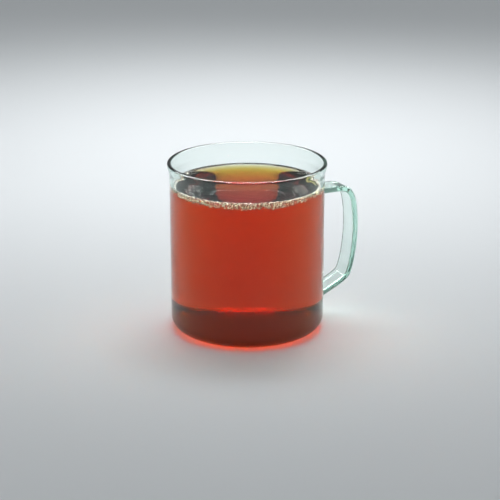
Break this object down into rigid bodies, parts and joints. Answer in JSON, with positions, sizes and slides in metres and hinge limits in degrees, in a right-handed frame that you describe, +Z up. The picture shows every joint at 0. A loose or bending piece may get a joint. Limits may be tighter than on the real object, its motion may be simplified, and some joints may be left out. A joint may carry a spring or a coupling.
{
  "type": "glass cup of tea",
  "caption": "Straight clear glass mug with a flared lip and a fused strap handle, filled with black tea that carries a ring of froth bubbles at its edge",
  "frame": {"origin": "centre of the mug's flat foot, on its axis, at table level", "axes": "+Z up along the mug's axis, +X out along the handle"},
  "size_m": [0.1087, 0.0864, 0.0935],
  "materials": {
    "glass": "clear, fire-polished",
    "tea": "clear orange-red liquid with pale froth at its edge"
  },
  "bodies": {
    "root": {"glass_mug": "glass", "tea": "tea"}
  },
  "joints": []
}
